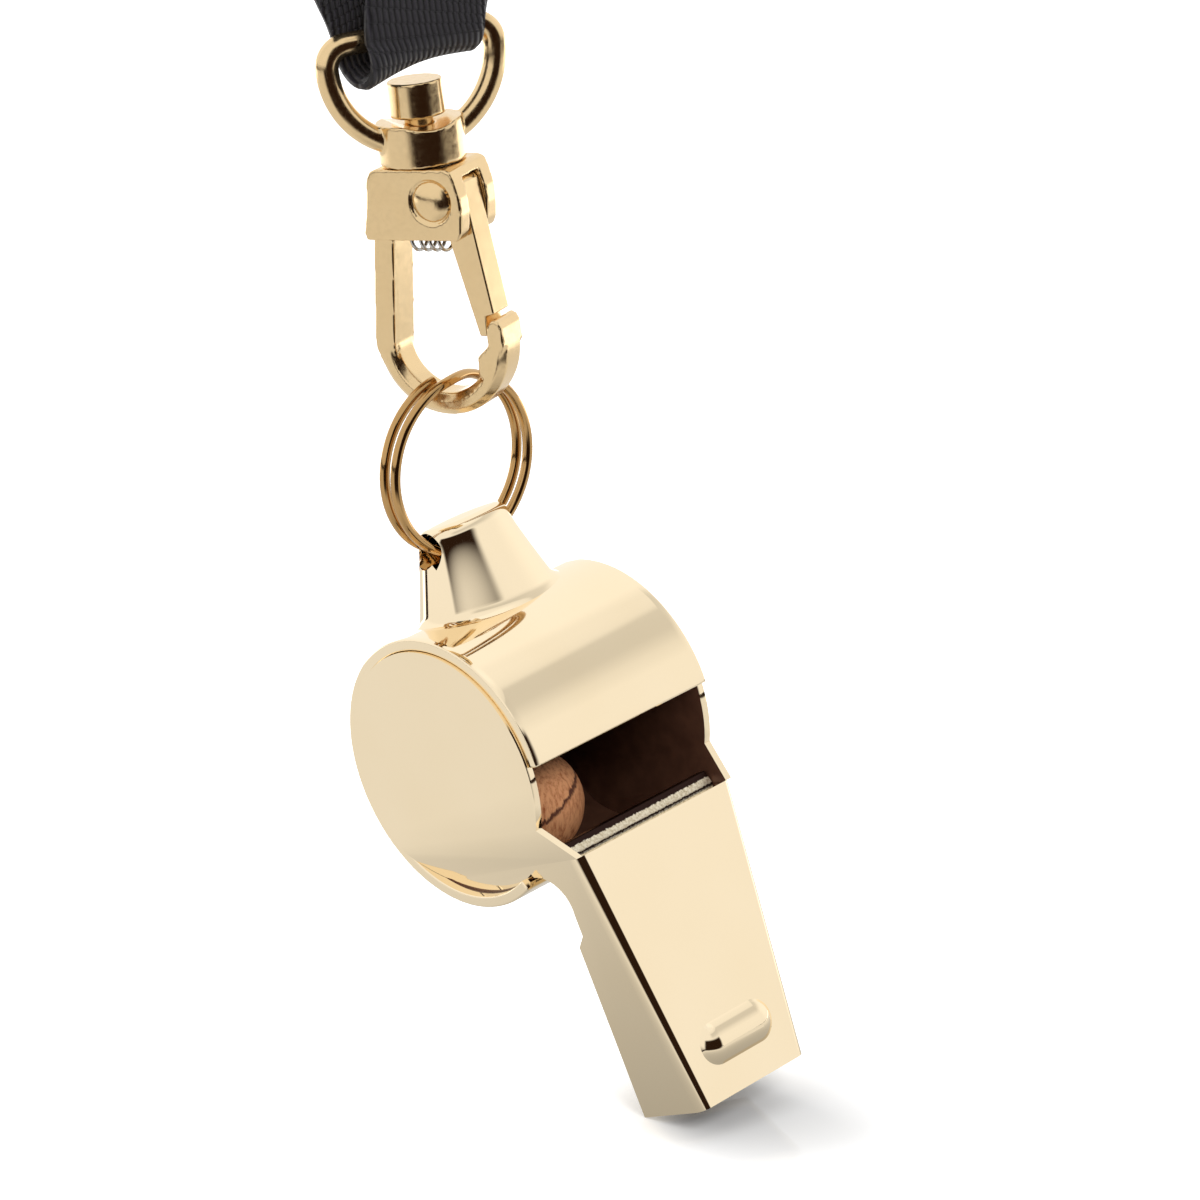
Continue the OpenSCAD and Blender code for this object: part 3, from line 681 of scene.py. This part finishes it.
def boreLug(piece):
    # a hole right through, a wider bore in the middle and a flared mouth at each side
    s = lugSettings
    cutAway(piece, addRod(s["hole"] * mm, s["holeLong"] * mm, onLug(0, 0, s["holeAt"]), whistleAcross))
    cutAway(piece, addRod(s["bore"] * mm, 2 * s["boreHalf"] * mm, onLug(0, 0, s["boreAt"]), whistleAcross))
    for side in (-1, 1):
        mouth = onLug(0, side * (s["flareFrom"] + s["flareTo"]) / 2, s["holeAt"])
        cutAway(piece, addRod(s["hole"] * mm, (s["flareTo"] - s["flareFrom"]) * mm, mouth, whistleAcross * side,
                              endRadius=s["flare"] * mm))


ringLug = addRolled("ringLug", lugGrid["around"], lugGrid["top"], lugPoint)
boreLug(ringLug)
smoothed(ringLug, lugSettings["smoothUnder"])
dress(ringLug, whistleGold)
standsFor(ringLug, "ring_lug", "gilt_brass", "whistle")
print("stage: lug drawn")


# the gate, a bar with a bright outer face that fills the housing's slot

gateSettings = {
    "half": 1.24, "edge": 0.16, "segments": 4, "profile": 0.55, "breakOver": 40, "smoothUnder": 34,
    "rivet": (1.75, -2.5), "bore": 0.85, "boreLong": 8,
    "outline": (
        (2.9, -1.06), (3.45, -1.08), (3.8, -1.45), (4.02, -3.2), (5.17, -11.58), (4.44, -11.72), (4.44, -13.3),
        (3.76, -13.3), (3.12, -10.5), (1.75, -4.35), (0.62, -3.3), (0.55, -2.5), (0.75, -1.75), (1.35, -1.15),
    ),
}  # mm towards the gate and up from the housing's top, degrees

gateLever = addPlate("gateLever", gateSettings["outline"], gateSettings["half"])
applied(gateLever, "chamfered", "BEVEL", width=gateSettings["edge"] * mm, segments=gateSettings["segments"],
        profile=gateSettings["profile"], limit_method="ANGLE",
        angle_limit=math.radians(gateSettings["breakOver"]))
rivetAt = onHook(gateSettings["rivet"][0], 0, gateSettings["rivet"][1])
cutAway(gateLever, addRod(gateSettings["bore"] * mm, gateSettings["boreLong"] * mm, rivetAt, gateAcross))
smoothed(gateLever, gateSettings["smoothUnder"])
evened(gateLever)
dress(gateLever, castingGold)
standsFor(gateLever, "hook_gate", "gilt_casting", "gate")
print("stage: gate made")


# wound wires

wireSettings = {"sectionSteps": 5, "smoothUnder": 40}  # degrees
ringSettings = {
    "radius": 6.9, "wire": 0.4, "pitch": 1.22, "from": 105, "steps": 96, "step": 12,
}  # mm, degrees, points to a turn
springSettings = {
    "radius": 0.9, "wire": 0.15, "turns": 4, "length": 3.4, "from": -1.88, "drop": 6.0, "steps": 24,
}  # mm, points to a turn


def woundWire(name, points, radius, finish):
    curve = bpy.data.curves.new(name, "CURVE")
    curve.dimensions = "3D"
    curve.bevel_depth = radius
    curve.bevel_resolution = wireSettings["sectionSteps"]
    curve.use_fill_caps = True
    spline = curve.splines.new("POLY")
    spline.points.add(len(points) - 1)
    for knot, point in zip(spline.points, points):
        knot.co = (*point, 1)
    wire = bpy.data.objects.new(name, curve)
    bpy.context.scene.collection.objects.link(wire)
    onlySelect(wire)
    bpy.ops.object.convert(target="MESH")
    wire = bpy.context.object
    smoothed(wire, wireSettings["smoothUnder"])
    dress(wire, finish)
    return wire


def ringPoints():
    # nearly two turns, which change sides over one short step
    s = ringSettings
    low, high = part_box("split_ring")
    centre = (low + high) / 2
    points = []
    for i in range(2 * s["steps"] - s["step"] + 1):
        angle = math.radians(360 * i / s["steps"] + s["from"])
        shift = s["pitch"] * (eased((i - s["steps"] + s["step"]) / s["step"]) - 0.5)
        points.append(centre + Vector((shift, s["radius"] * math.cos(angle), s["radius"] * math.sin(angle))) * mm)
    return points


def springPoints():
    s = springSettings
    last = s["turns"] * s["steps"]
    points = []
    for i in range(last + 1):
        angle = 2 * math.pi * i / s["steps"]
        along = s["from"] + s["wire"] + (s["length"] - 2 * s["wire"]) * i / last
        points.append(onHook(along, s["radius"] * math.cos(angle), s["radius"] * math.sin(angle) - s["drop"]))
    return points


splitRing = woundWire("splitRing", ringPoints(), ringSettings["wire"] * mm, wireGold)
standsFor(splitRing, "split_ring", "gilt_wire", "ring")
gateSpring = woundWire("gateSpring", springPoints(), springSettings["wire"] * mm, steelWire)
standsFor(gateSpring, "gate_spring", "spring_steel", "hook")
print("stage: wires wound")


# cork pea

peaSettings = {"radius": 4.4, "segments": 96, "rings": 64, "pit": 1.2, "dent": 0.06, "level": 0.3}  # mm
onlyNothing()
bpy.ops.mesh.primitive_uv_sphere_add(segments=peaSettings["segments"], ring_count=peaSettings["rings"],
                                     radius=peaSettings["radius"] * mm, location=peaCentre)
pea = bpy.context.object
pea.name = "corkPea"
bpy.ops.object.transform_apply(location=True, rotation=True, scale=True)
pits = bpy.data.textures.new("pits", "CLOUDS")
pits.noise_scale = peaSettings["pit"] * mm
applied(pea, "pitted", "DISPLACE", texture=pits, texture_coords="LOCAL",
        strength=-peaSettings["dent"] * mm, mid_level=peaSettings["level"])
bpy.ops.object.shade_smooth()
dress(pea, corkSkin)
standsFor(pea, "cork_pea", "cork", "pea")
print("stage: pea turned")


# webbing: one tape folded round the bar, its ends lapped and sewn at the top

tapeSettings = {
    "width": 9.4, "thick": 1.0, "foldRadius": 1.7, "sag": 0.2, "slant": 11, "topSlant": 4, "shift": 0.7,
    "rise": 16.2, "topRadius": 6.5, "lean": 0.1, "footRise": 0.4, "topFall": 0.35, "twist": (1.25, -0.25),
    "foldSteps": 24, "legSteps": 56, "topSteps": 40, "across": 14,
    "selvedge": 0.7, "selvedgeHigh": 0.45, "hollow": 0.1, "smoothUnder": 50,
}  # mm, degrees, shares of the half thickness


def curved(a, b, c, d, t):
    return a * (1 - t) ** 3 + b * 3 * t * (1 - t) ** 2 + c * 3 * t * t * (1 - t) + d * t ** 3


def tapeLeg(sign, t):
    # one leg from the fold to the loop's widest place, and how far the width has turned there
    s = tapeSettings
    foot = Vector((sign * s["shift"], -sign * s["foldRadius"], 0))
    head = Vector((sign * s["topRadius"], 0, s["rise"]))
    point = curved(foot, foot + Vector((s["lean"] * head.x, 0, s["rise"] * s["footRise"])),
                   head - Vector((0, 0, s["rise"] * s["topFall"])), head, t)
    return point, math.radians(90 * eased(s["twist"][0] * t + s["twist"][1]))


def tapeRoute():
    # stations in mm about the bar: along it, through, up, and the turn of the width
    s = tapeSettings
    fold, top = s["foldRadius"], s["topRadius"]
    route = []
    for i in range(s["foldSteps"] + 1):
        a = math.pi * i / s["foldSteps"]
        point = Vector((s["shift"] * math.cos(a), -fold * math.cos(a), -(fold + s["sag"]) * math.sin(a)))
        route.append((point, 0.0))
    for i in range(1, s["legSteps"] + 1):
        route.append(tapeLeg(-1, i / s["legSteps"]))
    for i in range(1, s["topSteps"] + 1):
        a = math.pi * (1 - i / s["topSteps"])
        route.append((Vector((top * math.cos(a), 0, s["rise"] + top * math.sin(a))), math.radians(90)))
    for i in range(1, s["legSteps"]):
        route.append(tapeLeg(1, 1 - i / s["legSteps"]))
    return route


def tapeFrame(route, i, closed=True):
    # the tape's width and its outward face at one station
    n = len(route)
    before, after = ((i - 1) % n, (i + 1) % n) if closed else (max(i - 1, 0), min(i + 1, n - 1))
    way = (route[after][0] - route[before][0]).normalized()
    turn = route[i][1]
    high = eased(max(0, route[i][0].z) / tapeSettings["rise"])
    slant = tapeSettings["slant"] + (tapeSettings["topSlant"] - tapeSettings["slant"]) * high
    flat = Vector((math.cos(turn), math.sin(turn), math.tan(math.radians(slant))))
    side = (flat - way * flat.dot(way)).normalized()
    return side, way.cross(side)


def tapeSection(width, thick):
    # both faces and the round selvedges, anticlockwise, slightly hollow towards the middle
    s = tapeSettings
    half, edge, across = width / 2, thick / 2, s["across"]
    curl, low = edge * s["selvedge"], edge * s["selvedgeHigh"]
    face = [-half + curl + (width - 2 * curl) * k / across for k in range(across + 1)]
    upper = [(x, edge * (1 - s["hollow"] + s["hollow"] * (2 * x / width) ** 2)) for x in reversed(face)]
    lower = [(x, -y) for x, y in reversed(upper)]
    return [(half, low)] + upper + [(-half, low), (-half, -low)] + lower + [(half, -low)]


def makeTape(name, route, width, thick, closed, lift=0.0):
    # the tape as a rolled grid, with its own map in mm: across it and along it
    section = tapeSection(width, thick)
    m, n = len(section), len(route)
    rows = n if closed else n + 1
    runs = [0.0]
    for i in range(1, n + 1):
        runs.append(runs[-1] + (route[i % n][0] - route[i - 1][0]).length)

    def place(i, k):
        at = k % n if closed else min(max(k - 1, 0), n - 1)
        side, out = tapeFrame(route, at, closed)
        x, y = section[i % m]
        if not closed and k in (0, n + 1):  # each end closes on its middle
            x, y = 0, 0
        return onTape(route[at][0] + side * x + out * (y + lift))
    tape = addRolled(name, m, rows, place)
    layer = tape.data.uv_layers[0]
    layer.name = "tape"
    for spot in layer.data:
        i, k = round(spot.uv.x * m), round(spot.uv.y * rows)
        at = k if closed else min(max(k - 1, 0), n - 1)
        spot.uv = (section[i % m][0], runs[at])
    smoothed(tape, tapeSettings["smoothUnder"])
    dress(tape, tapeCloth)
    return tape


tapePath = tapeRoute()
webbing = makeTape("webbingTape", tapePath, tapeSettings["width"], tapeSettings["thick"], True)
standsFor(webbing, "webbing_loop", "webbing", "strap")

# the tape's end laps over the top of the loop and is sewn down with two rows of stitches
lapSettings = {
    "from": 0.30, "to": 0.74, "thick": 0.8, "narrower": 0.1, "lift": 0.86, "row": 3.4, "margin": 0.6,
    "stitch": 1.5, "gap": 0.7, "thread": 0.17, "sunk": 0.14, "arch": 0.2, "steps": 8,
}  # shares of the loop's top, mm
topStart = tapeSettings["foldSteps"] + 1 + tapeSettings["legSteps"]
lapFrom, lapTo = (topStart + round(lapSettings[end] * tapeSettings["topSteps"]) for end in ("from", "to"))
lapPath = tapePath[lapFrom:lapTo]
lapWidth = tapeSettings["width"] - lapSettings["narrower"]
tapeLap = makeTape("webbingLap", lapPath, lapWidth, lapSettings["thick"], False, lift=-lapSettings["lift"])
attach(tapeLap, "strap")


def stitchPoints(row, middle, length):
    # one stitch on the lap's face, sunk at both ends
    s = lapSettings
    points = []
    for step in range(s["steps"] + 1):
        at = (middle + s["stitch"] * (step / s["steps"] - 0.5)) / length * (len(lapPath) - 1)
        i = min(int(at), len(lapPath) - 2)
        side, out = tapeFrame(lapPath, i, False)
        centre = lapPath[i][0].lerp(lapPath[i + 1][0], at - i)
        proud = s["lift"] + s["thick"] / 2 - s["sunk"] + s["arch"] * math.sin(math.pi * step / s["steps"])
        points.append(onTape(centre + side * row * s["row"] - out * proud))
    return points


lapLength = sum((b[0] - a[0]).length for a, b in zip(lapPath, lapPath[1:]))
sewnLength = lapLength - 2 * lapSettings["margin"]
stitchCount = int(sewnLength / (lapSettings["stitch"] + lapSettings["gap"]))
stitches = []
for row in (-1, 1):
    for k in range(stitchCount):
        middle = lapSettings["margin"] + (k + 0.5) * sewnLength / stitchCount
        points = stitchPoints(row, middle, lapLength)
        stitches.append(woundWire("stitch", points, lapSettings["thread"] * mm, tapeThread))
sewing = joined(stitches)
sewing.name = "lapStitches"
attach(sewing, "strap")
print("stage: webbing folded and sewn,", len(stitches), "stitches")


# floor: white to the camera, and a pictured table and room to the gold's mirrors

stageSettings = {
    "size": 6.0, "below": 0.02, "tip": (30, 0, 7),  # m, then mm
    "white": 0.80, "gloss": 0.09, "glossRoughness": 0.06,
    "liftNear": 0.04, "liftFar": 0.72, "liftReach": (3, 32), "liftSide": 0.75,  # mm
    "tableBright": 0.86, "tableNear": 0.42, "tableReach": (2, 60), "tableEdge": (0.40, 0.62),  # mm, m
    "roomDark": "#2A1B12", "roomAhead": (-0.55, -0.35), "warmWhite": (1, 0.985, 0.955),
    "sector": (0.50, 0.80), "sectorTurn": 16, "sectorFrom": (55, 115),  # cosines, degrees, mm
    "backBright": 1.5, "backWay": (0.0, -0.5), "backFrom": (0.22, 0.34),  # cosines, m
}
frontWay = Vector((-forward.x, -forward.y, 0)).normalized()  # from the part towards the camera, level


def mirroredTable(tree, reach, way):
    # what a mirror sees of the floor: a bright table, dark room past its edge in front, a bright sweep behind
    s = stageSettings
    front = vectorValue(tree, "DOT_PRODUCT", way, frontWay)
    # painted shadow: the mirrored table darkens towards the tip
    near = mapped(tree, reach, s["tableReach"][0] * mm, s["tableReach"][1] * mm,
                  s["tableNear"], s["tableBright"], "LINEAR")
    pastEdge, ahead = mapped(tree, reach, *s["tableEdge"]), mapped(tree, front, *s["roomAhead"])
    roomBehind = mathValue(tree, "MULTIPLY", pastEdge, ahead)
    # in front, a little to the right, the table ends nearer: it is the brown stripe in every fold
    sectorWay = Matrix.Rotation(math.radians(s["sectorTurn"]), 3, "Z") @ frontWay
    sector = mapped(tree, vectorValue(tree, "DOT_PRODUCT", way, sectorWay), *s["sector"])
    sectorFar = mapped(tree, reach, s["sectorFrom"][0] * mm, s["sectorFrom"][1] * mm)
    roomShare = mathValue(tree, "MAXIMUM", roomBehind, mathValue(tree, "MULTIPLY", sector, sectorFar))
    # behind, the sweep of the backdrop is lit harder than the table
    behind = mapped(tree, front, *s["backWay"], 0.0, s["backBright"])
    lightHere = mathValue(tree, "MULTIPLY_ADD", behind, mapped(tree, reach, *s["backFrom"]), near)
    pictured = mixed(tree, roomShare, scaled(tree, s["warmWhite"], lightHere), linear(s["roomDark"]))
    return addNode(tree, "ShaderNodeEmission", {"Strength": 1.0, "Color": pictured}).outputs[0]


def litTable(tree, reach, way, cameraRay):
    # what the camera sees: white, with the contact shadow to the right, so the table clears sooner on the left
    s = stageSettings
    matt = addNode(tree, "ShaderNodeBsdfDiffuse", {"Color": grey(s["white"])}).outputs[0]
    shine = addNode(tree, "ShaderNodeBsdfGlossy", {"Roughness": s["glossRoughness"], "Color": grey(1)}).outputs[0]
    # painted light: a glow for camera rays whitens the table away from the part, sooner on the left, over the
    # shadow there
    sideDot = vectorValue(tree, "DOT_PRODUCT", way, right)
    sooner = mathValue(tree, "MULTIPLY_ADD", sideDot, -s["liftSide"], 1 + s["liftSide"])
    far = mapped(tree, mathValue(tree, "MULTIPLY", reach, sooner), s["liftReach"][0] * mm, s["liftReach"][1] * mm,
                 s["liftNear"], s["liftFar"])
    lift = mathValue(tree, "MULTIPLY", cameraRay, far)
    glow = addNode(tree, "ShaderNodeEmission", {"Color": grey(1), "Strength": lift}).outputs[0]
    return addNode(tree, "ShaderNodeAddShader", {0: either(tree, s["gloss"], matt, shine), 1: glow}).outputs[0]


def studioTable():
    material, tree = newMaterial("whiteStudioTable")
    rays = addNode(tree, "ShaderNodeLightPath", {})
    spot = onPiece(tree)
    reach, way = vectorValue(tree, "LENGTH", spot), vectorValue(tree, "NORMALIZE", spot)
    seen = litTable(tree, reach, way, rays.outputs["Is Camera Ray"])
    both = either(tree, rays.outputs["Is Glossy Ray"], seen, mirroredTable(tree, reach, way))
    addNode(tree, "ShaderNodeOutputMaterial", {"Surface": both})
    return material


tip = barrelCentre + whistleFrame @ Vector(stageSettings["tip"]) * mm
onlyNothing()
bpy.ops.mesh.primitive_plane_add(size=stageSettings["size"],
                                 location=(tip.x, tip.y, cadBox[0][2] - stageSettings["below"] * mm))
floor = bpy.context.object
floor.name = "floor"
dress(floor, studioTable())


# the studio round the table: white walls and ceiling for the mirrors, with the unlit room behind the camera

worldSettings = {
    "plain": 0.38, "roomTurn": 34, "roomWide": (42, 32), "roomHigh": (0.62, 0.50),  # degrees, heights
    "walls": (0.98, 0.965, 0.94, 1), "horizon": (0.97, 0.95, 0.92, 1), "backBright": 0.10, "backWay": (0.0, 0.5),
    "ceiling": ((0.25, 1.0), (0.5, 1.0), (0.63, 0.9), (0.74, 0.72), (0.835, 0.68), (0.85, 0.86), (0.92, 1.0)),
    "ceilingWay": (0.4, 0.7),
}


def mirroredStudio(tree):
    s = worldSettings
    toward = addNode(tree, "ShaderNodeTexCoord", {}).outputs["Generated"]
    height = addNode(tree, "ShaderNodeSeparateXYZ", {"Vector": toward}).outputs["Z"]
    level = vectorValue(tree, "NORMALIZE", vectorValue(tree, "MULTIPLY", toward, (1, 1, 0)))
    # the ceiling's dull part hangs on the right only
    dulled = [(position, grey(light, stageSettings["warmWhite"])) for position, light in s["ceiling"]]
    ceiling = toned(tree, height, [(0.0, s["horizon"])] + dulled + [(1.0, grey(1))])
    dull = mapped(tree, vectorValue(tree, "DOT_PRODUCT", level, right), *s["ceilingWay"])
    walls = mixed(tree, dull, s["walls"], ceiling)
    # the wall behind the part is a little brighter
    backDot = vectorValue(tree, "DOT_PRODUCT", level, -frontWay)
    wallLight = scaled(tree, walls, mapped(tree, backDot, *s["backWay"], 1.0, 1 + s["backBright"]))
    # the unlit room, behind the camera and a little to its right
    roomWay = Matrix.Rotation(math.radians(s["roomTurn"]), 3, "Z") @ frontWay
    roomDot = vectorValue(tree, "DOT_PRODUCT", level, roomWay)
    wide = mapped(tree, roomDot, *(math.cos(math.radians(angle)) for angle in s["roomWide"]))
    roomShare = mathValue(tree, "MULTIPLY", wide, mapped(tree, height, *s["roomHigh"]))
    return mixed(tree, roomShare, wallLight, linear(stageSettings["roomDark"]))


world = bpy.data.worlds.new("studio")
bpy.context.scene.world = world
world.use_nodes = True
tree = world.node_tree
tree.nodes.clear()
rays = addNode(tree, "ShaderNodeLightPath", {})
plain, pictured, white = (
    addNode(tree, "ShaderNodeBackground", {"Color": colour, "Strength": strength}).outputs[0]
    for colour, strength in ((grey(1), worldSettings["plain"]), (mirroredStudio(tree), 1.0), (grey(1), 1.0)))
lightOrMirror = either(tree, rays.outputs["Is Glossy Ray"], plain, pictured)
straight = mathValue(tree, "MAXIMUM", rays.outputs["Is Camera Ray"], rays.outputs["Is Transmission Ray"])
addNode(tree, "ShaderNodeOutputWorld", {"Surface": either(tree, straight, lightOrMirror, white)})

lamps = {
    "keyPanel": {"at": (-0.45, -0.05, 0.55), "size": 0.25, "power": 3.4},
    "frontPanel": {"at": (0.15, -0.6, 0.25), "size": 0.5, "power": 1.0},
    "topPanel": {"at": (0.1, 0.2, 0.8), "size": 0.6, "power": 1.3},
    "windowPanel": {"at": (0.45, -0.2, 0.28), "size": 0.2, "power": 1.8},
}  # m, W
for name, lamp in lamps.items():
    data = bpy.data.lights.new(name, "AREA")
    data.shape = "SQUARE"
    data.size = lamp["size"]
    data.energy = lamp["power"]
    panel = bpy.data.objects.new(name, data)
    bpy.context.scene.collection.objects.link(panel)
    panel.location = lamp["at"]
    panel.rotation_euler = (barrelCentre - Vector(lamp["at"])).to_track_quat("-Z", "Y").to_euler()
    panel.visible_glossy = False

bpy.context.scene.view_settings.view_transform = "Standard"
print("stage: studio made")
